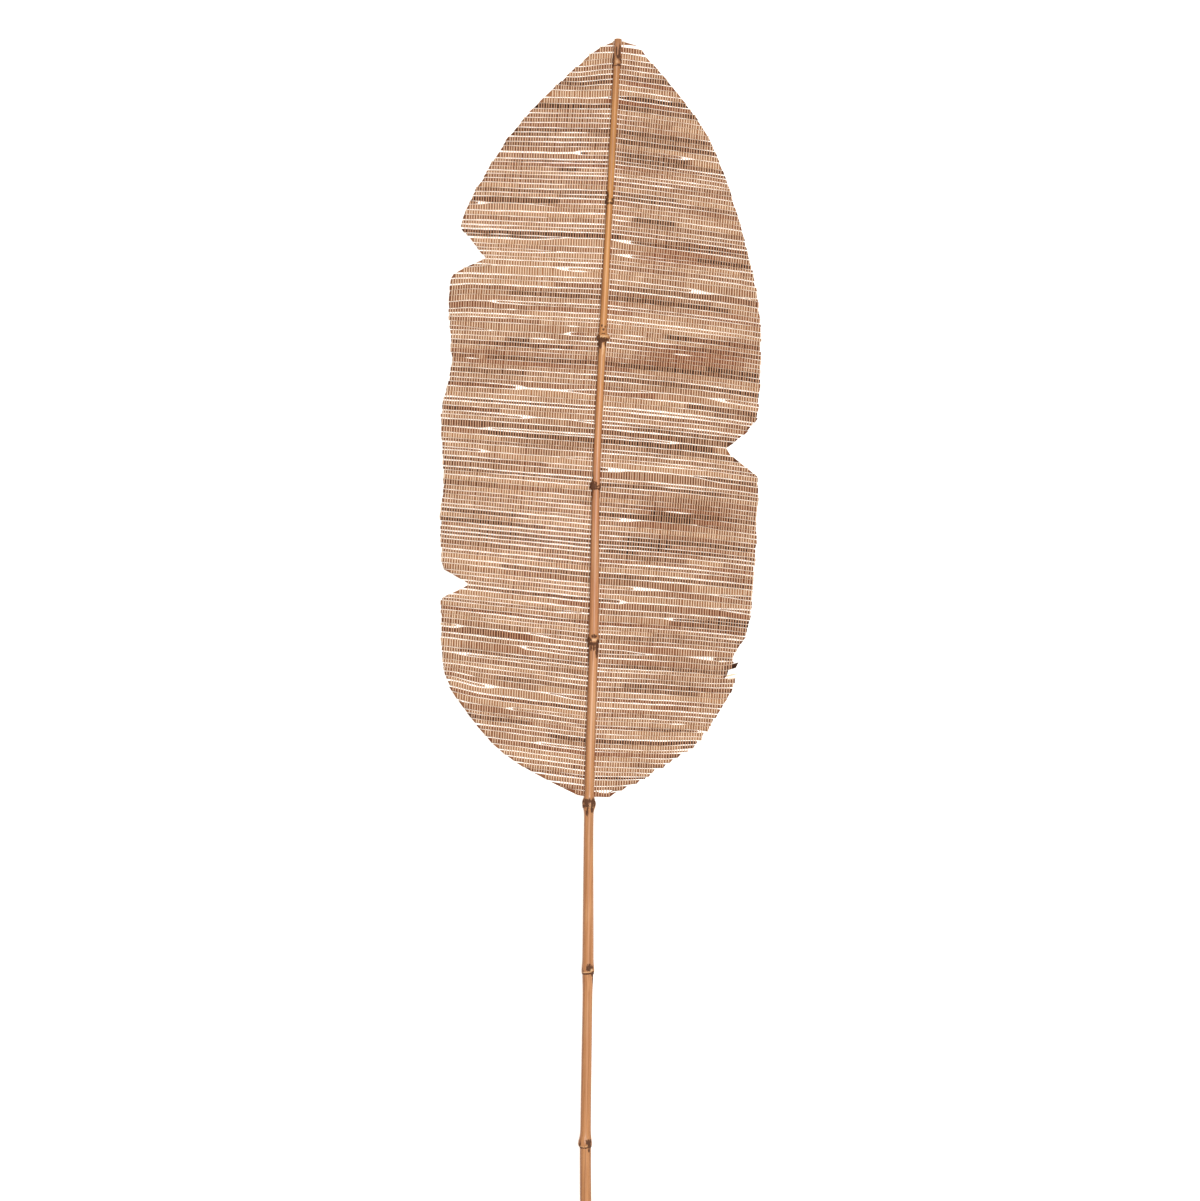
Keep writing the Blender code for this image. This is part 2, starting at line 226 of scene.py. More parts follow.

# Marks on the cane's skin: node, across, along from the node, half width, half length, depth.
# A mark of positive depth is a dark scar, one of negative depth a pale chip or lip, but the long
# pale streak below node 2, right of the middle, is a painted highlight. Scars
# spread a little wider than they are given here.
SCAR_SPREAD = 1.22
MARKS = [(0, 2.6, 11.0, 1.0, 7.0, 1.36), (0, -1.2, 13.0, 0.7, 5.0, 1.02), (0, 1.4, 5.2, 1.8, 2.0, 1.36),
         (0, -4.6, 2.0, 1.1, 6.0, 1.36), (0, 4.8, 1.0, 0.9, 5.0, 1.19), (0, -0.6, -1.0, 2.2, 3.0, -0.48),
         (0, 2.8, -4.8, 1.8, 1.2, 1.19),
         (1, -4.2, 1.4, 2.2, 1.8, 1.7), (1, 4.2, 1.8, 1.8, 1.8, 1.7), (1, 0.0, 0.6, 1.8, 1.1, -0.84),
         (1, -3.0, -2.6, 2.4, 1.3, 1.53), (1, 2.2, -2.4, 1.8, 1.1, 1.53), (1, -2.6, 6.5, 1.0, 5.0, 1.19),
         (1, -3.9, -9.0, 0.8, 8.0, 0.85),
         (2, 0.4, 1.2, 5.6, 1.4, -1.1), (2, -6.4, 1.0, 2.2, 2.2, 1.2), (2, 6.6, 2.6, 3.2, 1.4, -0.8),
         (2, 0.0, -3.2, 6.6, 2.2, 1.56), (2, -2.6, -7.4, 1.7, 4.4, 1.32), (2, 4.6, -6.4, 1.4, 4.4, 1.32),
         (2, -4.6, -13.0, 0.8, 9.0, 0.72), (2, 0.6, 10.0, 1.1, 1.6, 0.84), (2, 2.6, 14.0, 1.0, 1.4, 0.84),
         # The last mark on the next line, a long pale streak below node 2, is a painted highlight.
         (2, -1.6, 14.5, 0.9, 1.6, 0.72), (2, 0.6, 4.8, 1.8, 0.9, 0.72), (2, 1.6, -14.0, 1.4, 9.0, -0.7),
         (3, -4.4, 1.2, 4.2, 3.4, 1.9), (3, 5.4, 0.8, 2.4, 2.4, 1.5), (3, -4.6, -7.0, 1.3, 7.0, 1.0),
         (3, -4.4, 9.0, 1.0, 6.5, 0.8), (3, 1.4, 0.0, 2.2, 1.2, 0.9), (3, -1.2, 4.4, 1.8, 1.2, 0.9),
         (3, 1.6, 1.6, 1.2, 0.7, -0.7), (3, 4.9, -9.0, 0.7, 6.0, 0.5),
         (4, 0.6, 5.6, 2.6, 1.7, 1.44), (4, 1.6, 1.2, 4.0, 1.4, -1.2), (4, -6.0, 0.6, 2.4, 2.8, 1.32),
         (4, 1.0, -4.0, 6.6, 1.6, 1.3), (4, 5.6, -2.0, 1.6, 3.4, 1.2), (4, 4.2, -10.5, 1.5, 7.0, 1.44),
         (4, -2.8, -8.5, 0.9, 3.4, 1.0), (4, -5.6, -16.0, 0.8, 12.0, 0.72), (4, 0.6, -9.0, 0.9, 2.8, 0.96),
         (5, -3.6, 4.2, 3.6, 3.2, 1.2), (5, -5.0, -1.0, 2.6, 2.2, 0.9), (5, -1.6, 0.4, 1.6, 3.4, 0.9),
         (5, 5.6, 2.4, 2.4, 4.4, 1.3), (5, -2.2, -7.6, 1.4, 4.6, 1.0), (5, 3.8, -4.6, 1.4, 3.6, 0.9),
         (5, 1.4, -1.6, 1.6, 2.2, -0.8), (5, 0.8, 6.6, 1.2, 2.6, 0.8),
         (6, 1.0, 5.0, 2.6, 3.6, 1.0), (6, -1.6, 3.0, 1.4, 1.4, 0.7), (6, 3.8, 2.4, 2.2, 1.3, -1.6),
         (6, 6.2, -3.0, 1.9, 2.8, 1.2), (6, 6.4, -10.0, 0.9, 4.0, 0.9), (6, 5.4, 5.6, 1.2, 3.0, 0.7),
         (6, -6.2, 1.0, 1.0, 3.0, 0.6),
         (7, 3.8, 4.0, 2.6, 2.4, 1.56), (7, 4.8, -0.6, 1.7, 1.8, 1.32), (7, 2.0, 2.2, 1.0, 0.9, -0.8),
         (7, 4.2, -6.4, 1.0, 2.2, 0.96), (7, -7.2, 1.0, 1.0, 4.0, 0.72)]

# Rings round the cane: node, along from the node, half width, depth.
RINGS = [(0, -5.6, 0.9, 0.5), (0, 6.4, 1.0, 0.4), (1, -2.0, 0.8, 0.6), (2, -2.6, 1.1, 0.7),
         (3, -2.4, 1.2, 1.3), (4, -3.4, 1.1, 1.0), (5, -2.2, 0.7, 0.5), (6, -2.6, 0.9, 1.1),
         (6, -0.6, 0.8, -0.7), (7, -3.4, 0.9, 1.0), (7, -1.4, 0.9, -0.6)]

# Loose strands: their routes across and along, their radii, tone and how bleached they are.
LOOSE_STRANDS = [([(-4, -195), (6, -194.5), (15, -190), (27, -184)], (0.7, 0.6, 0.3), 0.55, 0.0),
                 ([(-3, -189), (2, -191.5), (8, -193.5)], (0.5, 0.4), 0.6, 0.0),
                 ([(156, -41), (163, -39), (169.5, -37.5)], (1.0, 0.9, 0.5), 0.9, 1.0),
                 ([(157, -45), (163, -44), (168.5, -42.5)], (0.9, 0.8, 0.5), 0.9, 1.0)]

# Studio, in metres: the floor, and where the key light hangs and shines to.
FLOOR_REACH = 20.0
FLOOR_LEVEL = -0.0004
KEY_PLACE = (0.6, 0.4, 4.44)
KEY_DIRECTION = (-0.6, -0.35, -4.44)

# The picture: its height in pixels, the size of a pixel, where its middle falls on the leaf,
# how far the cane leans in it in degrees, and the width of the camera's sensor.
PICTURE_HEIGHT = 1201
PIXEL = 1.25
PICTURE_MIDDLE = (5.05, 49.3)
PICTURE_TURN = 1.5275
SENSOR = 36.0


def smooth_curve(points):
    """A smooth curve through (place, value) points, as a function of an array of places."""
    places, values = np.array(sorted(points), float).T
    slopes = np.empty_like(values)
    slopes[1:-1] = (values[2:] - values[:-2]) / (places[2:] - places[:-2])
    slopes[0] = (values[1] - values[0]) / (places[1] - places[0])
    slopes[-1] = (values[-1] - values[-2]) / (places[-1] - places[-2])

    def value(place):
        place = np.clip(place, places[0], places[-1])
        i = np.clip(np.searchsorted(places, place, side="right") - 1, 0, len(places) - 2)
        span = places[i + 1] - places[i]
        t = (place - places[i]) / span
        from_start = (1 + 2 * t) * (1 - t) ** 2 * values[i] + t * (1 - t) ** 2 * span * slopes[i]
        to_end = t * t * (3 - 2 * t) * values[i + 1] - t * t * (1 - t) * span * slopes[i + 1]
        return from_start + to_end

    return value


def straight_curve(points):
    places, values = np.array(sorted(points), float).T
    return lambda place: np.interp(place, places, values)


def smooth_step(low, high, value):
    t = np.clip((value - low) / (high - low), 0.0, 1.0)
    return t * t * (3 - 2 * t)


cane_across = smooth_curve(CANE_BOW)
cane_radius = straight_curve(CANE_RADIUS)
plain_edges = {-1: smooth_curve(EDGE_LEFT), 1: smooth_curve(EDGE_RIGHT)}


def leaf_edge(side, along):
    """Reach of the notched leaf edge, on the left for side -1 and on the right for side 1."""
    reach = plain_edges[side](along)
    for top, deep, across, foot, top_round, foot_round in {-1: NOTCHES_LEFT, 1: NOTCHES_RIGHT}[side]:
        for shoulder, is_round in ((top, top_round), (foot, foot_round)):
            part = (along - deep) / (shoulder - deep)
            inside = (part >= 0) & (part < 1)
            part = np.clip(part, 0.0, 1.0)
            if is_round:
                part = np.sin(part * math.pi / 2)
            cut = across + (plain_edges[side](shoulder) - across) * part
            reach = np.where(inside, cut, reach)
    return reach


def strip_rise(across, along):
    """How much higher a strip lies at this place across than where it crosses the cane."""
    toward_stem = np.clip((FALL_FROM - along) / (FALL_FROM - FALL_TO), 0.0, 1.0)
    beside_cane = across - cane_across(along)
    on_left = beside_cane < 0
    near = np.where(on_left, FALL_LEFT[0], FALL_RIGHT[0])
    far = np.where(on_left, FALL_LEFT[1], FALL_RIGHT[1])
    fall = np.tan(np.radians(near + (far - near) * toward_stem)) * beside_cane
    steeper = math.tan(math.radians(FALL_RIGHT_EDGE)) * beside_cane ** 3 / (3 * RIGHT_REACH ** 2)
    rise = -fall - np.where(on_left, 0.0, steeper)
    for bend_across, bend_along, reach_across, reach_along, shift in BENDS:
        away = ((across - bend_across) / reach_across) ** 2
        away = away + ((along + rise - bend_along) / reach_along) ** 2
        rise = rise + shift * np.exp(-away)
    return rise


def mat_height(across, along):
    """Height of the middle of the mat's thickness."""
    beside_cane = across - cane_across(along)
    side = np.where(beside_cane < 0, -1.0, 1.0)
    wave = 1 + RISE_WAVE * np.sin(along / RISE_WAVE_LENGTH + side)
    rise = RISE * wave * smooth_step(FLAT_REACH, RISE_REACH, np.abs(beside_cane))
    return rise + MAT_THICKNESS / 2


def waves(rng, count, places, lengths):
    """Rows of smooth random values, each a sum of waves between -1 and 1 along the places."""
    total = np.zeros((count, len(places)))
    for length in lengths:
        phase = rng.uniform(0, 2 * math.pi, (count, 1))
        stretch = rng.uniform(0.8, 1.25, (count, 1))
        total += np.sin(places * 2 * math.pi / (length * stretch) + phase)
    return total / len(lengths)


class Weave:
    """Where every strip of the mat lies: its long edges, its ends, its breaks and its tone."""

    def __init__(self, sizes):
        self.rng = np.random.default_rng(sizes.seed)
        self.count = sizes.strip_count
        self.across = np.arange(GRID_FROM, GRID_TO, GRID_STEP)
        self.lay_lines(sizes)
        self.part_lines(sizes)
        self.cut_ends(sizes)
        self.tint_strips()

    def lay_lines(self, sizes):
        rng, count, across = self.rng, self.count, self.across
        order = np.arange(count)
        pitch = 1 + TIP_WIDENING * np.clip(1 - order / TIP_STRIPS, 0.0, 1.0)
        pitch = pitch * np.clip(rng.normal(1.0, WIDTH_SPREAD, count), 0.66, 1.45)
        lines = np.concatenate([[0.0], np.cumsum(pitch)]) / pitch.sum()
        lines = WEAVE_TOP + (WEAVE_FOOT - WEAVE_TOP) * lines
        for _, deep, place, *_ in NOTCHES_LEFT + NOTCHES_RIGHT:
            at_notch = lines + strip_rise(np.full(count + 1, float(place)), lines)
            shift = deep - at_notch[np.argmin(np.abs(at_notch - deep))]
            lines = lines + shift * np.exp(-((at_notch - deep) / NOTCH_EASE) ** 2)
        grid = lines[:, None] + strip_rise(across[None, :], lines[:, None])
        grid += 0.35 * waves(rng, count + 1, across, (160.0, 90.0, 47.0))
        self.lines = np.minimum.accumulate(grid, axis=0)
        self.missing = [[] for _ in range(count)]
        for along, place, way, fade in SHORT_STRIPS:
            row = self.nearest(self.lines, place, along + 3)
            self.end_strip(row, place, way, fade, rng.uniform(60.0, 110.0))
        for _ in range(sizes.short_strips):
            row = int(rng.integers(3, count - 3))
            way = rng.choice([-1, 1])
            self.end_strip(row, rng.uniform(-180.0, 170.0), way, rng.uniform(5.0, 24.0),
                           rng.uniform(40.0, 140.0))

    def end_strip(self, row, place, way, fade, length):
        """End a strip at a place across, and let one of its neighbours close the gap beyond."""
        start, stop = sorted((place, place + way * length))
        for near in range(max(row - 2, 0), min(row + 3, self.count)):
            for other_start, other_stop in self.missing[near]:
                if start < other_stop + ENDS_APART and stop > other_start - ENDS_APART:
                    return
        away = (self.across - place) * way
        before = 1 - (1 - THIN_END) * smooth_step(-THINNING, 0.0, away)
        after = THIN_END * (1 - smooth_step(0.0, fade, away))
        again = smooth_step(length - 16, length + 40, away)
        share = SLENDER * np.maximum(np.where(away < 0, before, after), again)
        upper, lower = self.lines[row], self.lines[row + 1]
        aim = self.rng.uniform(0.15, 0.85)
        target = upper * aim + lower * (1 - aim)
        self.lines[row] = target + (upper - target) * share
        self.lines[row + 1] = target + (lower - target) * share
        self.missing[row].append((start, stop))

    def part_lines(self, sizes):
        """Open the gaps between the strips, wider where the mat is woven loosely."""
        rng, count, across = self.rng, self.count, self.across
        share = rng.uniform(0.35, 1.5, (count + 1, 1))
        share = share + 0.6 * waves(rng, count + 1, across, (230.0, 120.0))
        gap = sizes.gap_width / MM / 2 * np.clip(share, 0.15, 1.7)
        gap = gap * (1 + 0.2 * waves(rng, count + 1, across, (38.0, 17.0)))
        gap = gap * np.where(across < cane_across(self.lines), GAP_LEFT, GAP_RIGHT)
        for place, along, reach_across, reach_along, change in GAP_ZONES:
            away = ((across - place) / reach_across) ** 4
            away = away + ((self.lines - along) / reach_along) ** 4
            gap = gap * (1 + change * np.exp(-away))
        for place, along, length, height in OPENINGS:
            self.open_gap(gap, place, along, length, height)
        for _ in range(sizes.small_openings):
            row = rng.integers(2, count - 2)
            place = rng.uniform(-190.0, 180.0)
            self.open_gap(gap, place, self.line_at(row, place), rng.uniform(6.0, 18.0),
                          rng.uniform(0.6, 1.0))
        ripple = 0.16 * waves(rng, 2 * count, across, (33.0, 15.0))
        self.upper = self.lines[:-1] - gap[:-1] + ripple[:count]
        self.lower = self.lines[1:] + gap[1:] + ripple[count:]
        thin = self.upper - self.lower < LEAST_STRIP
        middle = (self.upper + self.lower) / 2
        self.upper = np.where(thin, middle + LEAST_STRIP / 2, self.upper)
        self.lower = np.where(thin, middle - LEAST_STRIP / 2, self.lower)
        self.middle = (self.upper + self.lower) / 2

    def line_at(self, row, place):
        return np.interp(place, self.across, self.lines[row])

    def nearest(self, grid, place, along):
        """Row of the grid that runs nearest to a place."""
        column = np.searchsorted(self.across, place)
        return int(np.argmin(np.abs(grid[:, column] - along)))

    def open_gap(self, gap, place, along, length, height):
        row = self.nearest(self.lines, place, along)
        lens = np.clip(1 - ((self.across - place) / length) ** 2, 0.0, 1.0)
        gap[row] = np.maximum(gap[row], height * np.sqrt(lens))

    def cut_ends(self, sizes):
        """Ends of the upper and lower edge of each strip at the outline: [row, edge, side]."""
        self.ends = np.zeros((self.count, 2, 2))
        for edge, grid in enumerate((self.upper, self.lower)):
            for row in range(self.count):
                along = grid[row]
                on_leaf = leaf_edge(-1, along) < self.across
                on_leaf &= self.across < leaf_edge(1, along)
                start = int(np.searchsorted(self.across, cane_across(along.mean())))
                left = start
                while left > 0 and on_leaf[left - 1]:
                    left -= 1
                right = start
                while right < len(self.across) - 1 and on_leaf[right + 1]:
                    right += 1
                self.ends[row, edge] = self.across[left], self.across[right]
        spread = sizes.end_spread / MM
        self.ends += self.rng.uniform(-spread, spread, (self.count, 1, 2))
        self.ends += self.rng.uniform(-spread / 3, spread / 3, (self.count, 2, 2))
        heights = self.upper[:, len(self.across) // 2]
        torn = (self.ends[:, 0, 1] > TORN_FROM[0]) & (heights < TORN_FROM[1])
        tears = self.rng.uniform(-TORN_SPREAD, TORN_SPREAD / 2, (self.count, 1))
        self.ends[torn, :, 1] += tears[torn]
        self.ends[torn, 1, 1] += TORN_SQUARE * (self.ends[torn, 0, 1] - self.ends[torn, 1, 1])
        for side, along, upper_reach, lower_reach in ODD_ENDS:
            row = self.nearest(self.middle, upper_reach, along)
            self.ends[row, :, (side + 1) // 2] = upper_reach, lower_reach

    def pieces(self, row):
        """Pieces of a strip as (from, to) across, with None at an end on the outline."""
        starts, stops = [None], []
        for start, stop in sorted(self.missing[row]):
            stops.append(start)
            starts.append(stop)
        stops.append(None)
        left, right = self.ends[row, :, 0].max(), self.ends[row, :, 1].min()
        pairs = []
        for start, stop in zip(starts, stops):
            if (stop is None or stop > left + 2) and (start is None or start < right - 2):
                past_edge = stop is not None and stop > right - 2
                before_edge = start is not None and start < left + 2
                pairs.append((None if before_edge else start, None if past_edge else stop))
        return pairs

    def is_there(self, row, place):
        return not any(start - 0.5 < place < stop + 0.5 for start, stop in self.missing[row])

    def tint_strips(self):
        rng, count, across = self.rng, self.count, self.across
        kinds = rng.choice(STRIP_TONES, size=(count, 3), p=STRIP_TONE_SHARES)
        kinds += rng.normal(0.0, 0.05, (count, 3))
        splits = np.sort(rng.uniform(*SPLITS_BETWEEN, (count, 2)))
        for row, gone in enumerate(self.missing):
            if gone:
                splits[row] = sorted([gone[0][0] + 2, splits[row, 0]])
        tone = np.where(across < splits[:, :1], kinds[:, :1], kinds[:, 1:2])
        tone = np.where(across < splits[:, 1:], tone, kinds[:, 2:])
        tone += RIGHT_TONE * smooth_step(-20.0, 60.0, across)
        tone += 0.1 * waves(rng, count, across, (210.0, 80.0))
        tone += 0.07 * waves(rng, count, across, (26.0, 14.0))
        red = rng.normal(0.22, 0.22, (count, 1)) + 0.2 * waves(rng, count, across, (180.0,))
        red = np.clip(red, 0.0, 1.0)
        for place, along, reach_across, reach_along, shift, redness in PATCHES:
            away = ((across - place) / reach_across) ** 4
            inside = np.exp(-away - ((self.middle - along) / reach_along) ** 4)
            tone += shift * inside
            red += (redness - red) * inside
        for start, stop, along, value, redness in MARKED:
            row = self.nearest(self.middle, (start + stop) / 2, along)
            inside = smooth_step(start - 4, start + 2, across)
            inside = inside * (1 - smooth_step(stop - 2, stop + 4, across))
            flicker = 0.05 * waves(rng, 1, across, (60.0, 17.0))[0]
            tone[row] += (value + flicker - tone[row]) * inside
            red[row] += (redness - red[row]) * inside
        self.tone = np.clip(tone, 0.0, 1.0)
        self.red = np.clip(red, 0.0, 1.0)


class Shape:
    """Gathers lofted bodies, each a run of rings of points with flat ends, into one mesh."""

    def __init__(self, sides):
        self.sides = sides
        self.points = []
        self.quads = []
        self.caps = []
        self.values = {}
        self.maps = []
        self.size = 0

    def add(self, rings, values, map_along, map_side):
        """Rings as [ring, side, xyz], values per ring or per side, and the unwrapped map."""
        count, sides = rings.shape[:2]
        number = np.arange(count * sides).reshape(count, sides) + self.size
        turned = np.roll(number, -1, axis=1)
        quads = np.stack([number[:-1], turned[:-1], turned[1:], number[1:]], axis=-1)
        self.points.append(rings.reshape(-1, 3))
        self.quads.append(quads.reshape(-1, 4))
        self.caps.append(np.stack([number[0][::-1], number[-1]]))
        for name, value in values.items():
            value = np.asarray(value, float)
            spread = np.repeat(value, sides) if len(value) == count else np.tile(value, count)
            self.values.setdefault(name, []).append(spread)
        left = np.arange(sides) / sides
        right = left + 1 / sides
        low, high = map_side
        corner = np.empty((count - 1, sides, 4, 2))
        corner[..., 0, 0] = corner[..., 1, 0] = map_along[:-1, None]
        corner[..., 2, 0] = corner[..., 3, 0] = map_along[1:, None]
        corner[..., 0, 1] = corner[..., 3, 1] = low + (high - low) * left
        corner[..., 1, 1] = corner[..., 2, 1] = low + (high - low) * right
        cap = np.empty((2, sides, 2))
        cap[..., 0] = map_along[[0, -1], None]
        cap[..., 1] = low + (high - low) * (left + right) / 2
        self.maps.append((corner.reshape(-1, 2), cap.reshape(-1, 2)))
        self.size += count * sides

    def build(self, name, material):
        points = np.concatenate(self.points) * MM
        points[:, 0] += CANE_LINE_X * MM
        quads = np.concatenate(self.quads)
        caps = np.concatenate(self.caps)
        corners = np.concatenate([quads.ravel(), caps.ravel()])
        starts = np.concatenate([np.arange(len(quads)) * 4,
                                 len(quads) * 4 + np.arange(len(caps)) * self.sides])
        mesh = bpy.data.meshes.new(name)
        mesh.vertices.add(len(points))
        mesh.vertices.foreach_set("co", points.astype(np.float32).ravel())
        mesh.loops.add(len(corners))
        mesh.loops.foreach_set("vertex_index", corners.astype(np.int32))
        mesh.polygons.add(len(starts))
        mesh.polygons.foreach_set("loop_start", starts.astype(np.int32))
        mesh.update(calc_edges=True)
        for key, value in self.values.items():
            layer = mesh.attributes.new(key, "FLOAT", "POINT")
            layer.data.foreach_set("value", np.concatenate(value).astype(np.float32))
        unwrapped = mesh.uv_layers.new(name="OFBake")
        flat = np.concatenate([part for part, _ in self.maps] + [part for _, part in self.maps])
        unwrapped.uv.foreach_set("vector", flat.astype(np.float32).ravel())
        mesh.materials.append(material)
        mesh.shade_smooth()
        piece = bpy.data.objects.new(name, mesh)
        bpy.context.scene.collection.objects.link(piece)
        return piece


def operator_pair(operation):
    """Methods for an operator with a shader value on its left, and on its right."""
    def plain(self, other):
        return self.math(operation, self, other)

    def reflected(self, other):
        return self.math(operation, other, self)

    return plain, reflected


class Socket:
    """A shader value. Sums, products and powers of such values add their Math nodes."""

    def __init__(self, tree, output):
        self.tree = tree
        self.output = output

    def node(self, kind, settings=None, outputs=0, **inputs):
        """A node of this kind: its settings are made first, then its inputs are set or linked."""
        made = self.tree.nodes.new(kind)
        for key, value in (settings or {}).items():
            if key == "stops":
                fill_ramp(made.color_ramp, value)
            else:
                setattr(made, key, value)
        for key, value in inputs.items():
            by_number = key[1:].isdigit()
            target = made.inputs[int(key[1:]) if by_number else key.replace("_", " ")]
            if isinstance(value, Socket):
                self.tree.links.new(value.output, target)
            else:
                target.default_value = value
        return Socket(self.tree, made.outputs[outputs])

    def math(self, operation, *values):
        return self.node("ShaderNodeMath", {"operation": operation},
                         **{f"i{k}": value for k, value in enumerate(values)})

    __add__, __radd__ = operator_pair("ADD")
    __sub__, __rsub__ = operator_pair("SUBTRACT")
    __mul__, __rmul__ = operator_pair("MULTIPLY")
    __truediv__, __rtruediv__ = operator_pair("DIVIDE")
    __pow__, __rpow__ = operator_pair("POWER")

    def clamp(self):
        return self.node("ShaderNodeClamp", i0=self)

    def ramp(self, stops):
        return self.node("ShaderNodeValToRGB", {"stops": stops}, Fac=self)

    def stretch(self, x, y, z):
        """This vector with each part scaled."""
        return self.node("ShaderNodeVectorMath", {"operation": "MULTIPLY"}, i0=self, i1=(x, y, z))

    def noise(self, scale, detail=2.0, roughness=0.5):
        return self.node("ShaderNodeTexNoise", Vector=self, Scale=scale, Detail=detail,
                         Roughness=roughness)

    def part(self, axis):
        return self.node("ShaderNodeSeparateXYZ", outputs=axis, Vector=self)

    def mix(self, other, share):
        """This colour mixed with another by a share."""
        return self.node("ShaderNodeMix", {"data_type": "RGBA", "blend_type": "MIX"}, outputs=2,
                         Factor=share, i6=self, i7=other)


def fill_ramp(ramp, stops):
    while len(ramp.elements) > 1:
        ramp.elements.remove(ramp.elements[-1])
    ramp.elements[0].position, ramp.elements[0].color = stops[0]
    for position, colour in stops[1:]:
        ramp.elements.new(position).color = colour


class Finish:
    """A material with one Principled shader: its inputs are set or linked by name."""

    def __init__(self, name, **plain):
        self.material = bpy.data.materials.new(name)
        self.material.use_nodes = True
        self.tree = self.material.node_tree
        self.shader = self.tree.nodes["Principled BSDF"]
        for key, value in plain.items():
            self.shader.inputs[key.replace("_", " ")].default_value = value
        self.start = Socket(self.tree, None)

    def place(self):
        return self.start.node("ShaderNodeTexCoord", outputs=3)

    def value(self, name):
        """A value stored on the points of the mesh."""
        return self.start.node("ShaderNodeAttribute", {"attribute_name": name}, outputs=2)

    def set(self, name, socket):
        self.tree.links.new(socket.output, self.shader.inputs[name])

    def bump(self, height, strength, distance):
        made = self.start.node("ShaderNodeBump", Strength=strength, Distance=distance, Height=height)
        self.set("Normal", made)


def lerp(a, b, share):
    return tuple(x + (y - x) * share for x, y in zip(a, b))


def straw_finish(colours):
    finish = Finish("hyacinth straw", IOR=1.45, Specular_IOR_Level=0.06)
    place = finish.place()
    tone = finish.value("tone")
    red = finish.value("red")
    fibres = place.stretch(40.0, 1500.0, 700.0).noise(1.0, 3.0, 0.6)
    blotches = place.stretch(280.0, 170.0, 120.0).noise(1.0, 2.0, 0.5)
    shade = (tone + (fibres - 0.5) * 0.36 + (blotches - 0.5) * 0.6).clamp()
    dark, mid, light = colours.straw_dark, colours.straw_mid, colours.straw_light
    base = shade.ramp([(0.0, dark), (0.28, lerp(dark, mid, 0.5)), (0.6, mid), (1.0, light)])
    warm = shade.ramp([(0.0, dark), (0.5, colours.straw_red), (1.0, lerp(mid, light, 0.4))])
    base = base.mix(warm, red)
    # Painted highlight: the strips' long edges are lightened towards the thread colour as if their rounded
    # edges caught the light; on the torn fibres the same value is their own bleached colour.
    rim = (finish.value("rim") ** 1.5 * (0.55 + tone * 0.5)).clamp()
    base = base.mix(colours.thread, rim)
    finish.set("Base Color", base)
    finish.set("Roughness", 0.62 + fibres * 0.28)
    finish.bump(fibres * 0.7 + blotches * 0.3, 0.5, 0.0004)
    return finish.material


def thread_finish(colours):
    finish = Finish("cotton warp", IOR=1.45, Specular_IOR_Level=0.1)
    place = finish.place()
    lint = place.noise(2400.0, 2.0, 0.6)
    patches = place.noise(60.0, 2.0, 0.5)
    shade = (lint * 0.5 + patches * 0.5).clamp()
    stained = lerp(colours.thread, colours.straw_mid, 0.3)
    base = shade.ramp([(0.25, stained), (0.62, colours.thread)])
    base = base.mix(colours.thread_worn, (1.05 - finish.value("tone") * 1.2).clamp())
    finish.set("Base Color", base)
    finish.set("Roughness", 0.78 + lint * 0.2)
    finish.bump(lint, 0.4, 0.0002)
    return finish.material


def bamboo_finish(colours):
    finish = Finish("bamboo skin", IOR=1.5, Specular_IOR_Level=0.25, Coat_Roughness=0.28)
    place = finish.place()
    along = place.part(1)
    scar = finish.value("scar")
    pale = finish.value("pale")
    sawn = finish.value("sawn")
    tip, middle, foot = colours.cane_tip, colours.cane_middle, colours.cane_foot
    bright, deep, rust = colours.cane_bright, colours.cane_streak_and_shade, colours.cane_rust
    span = 2 * CANE_HALF_LENGTH * MM
    spots = [(-750, foot), (-420, lerp(foot, middle, 0.3)), (-180, foot),
             (-95, lerp(middle, bright, 0.4)), (10, lerp(foot, middle, 0.5)),
             (30, lerp(middle, foot, 0.25)), (200, middle), (330, lerp(middle, tip, 0.6)),
             (560, tip), (690, lerp(tip, rust, 0.35)), (735, rust)]
    base = (along / span + 0.5).ramp([(0.5 + y * MM / span, colour) for y, colour in spots])
    streaks = place.stretch(480.0, 7.0, 480.0).noise(1.0, 3.0, 0.6)
    clouds = place.stretch(60.0, 14.0, 60.0).noise(1.0, 3.0, 0.55)
    specks = place.stretch(900.0, 420.0, 900.0).noise(1.0, 2.0, 0.6)
    # Painted shade: the cane's flanks, the left one most, are darkened towards the streak colour where the
    # round cane turns away from the light.
    shaded = (finish.value("flank") * (0.55 + clouds * 0.6)).clamp()
    base = base.mix(deep, ((streaks - 0.43) * 4.0).clamp() * 0.7)
    base = base.mix(bright, ((clouds - 0.5) * 2.4).clamp() * 0.35)
    base = base.mix(deep, shaded * 0.8)
    torn = place.stretch(380.0, 170.0, 380.0).noise(1.0, 4.0, 0.7)
    edge = (torn - 0.5) * 5.0 + (specks - 0.5) * 2.0 + (streaks - 0.5) * 2.0
    dark = ((scar * (edge + 1.15) - 0.26) * 3.2).clamp()
    # Pale chips and lips are lightened, and with them the painted highlight streak below node 2.
    pale_chip_and_highlight = ((pale * (edge * 0.6 + 1.0) - 0.30) * 3.0).clamp()
    base = base.mix(bright, pale_chip_and_highlight * 0.8)
    base = base.mix(colours.scar, dark * 0.92)
    base = base.mix(lerp(bright, deep, 0.3), sawn)
    finish.set("Base Color", base)
    finish.set("Roughness", (0.36 + streaks * 0.18 + dark * 0.3 + sawn * 0.3).clamp())
    finish.set("Coat Weight", (0.18 - dark * 0.18 - sawn * 0.18).clamp())
    finish.bump(streaks * 0.5 + specks * 0.2 - dark * 0.8, 0.35, 0.0004)
    return finish.material


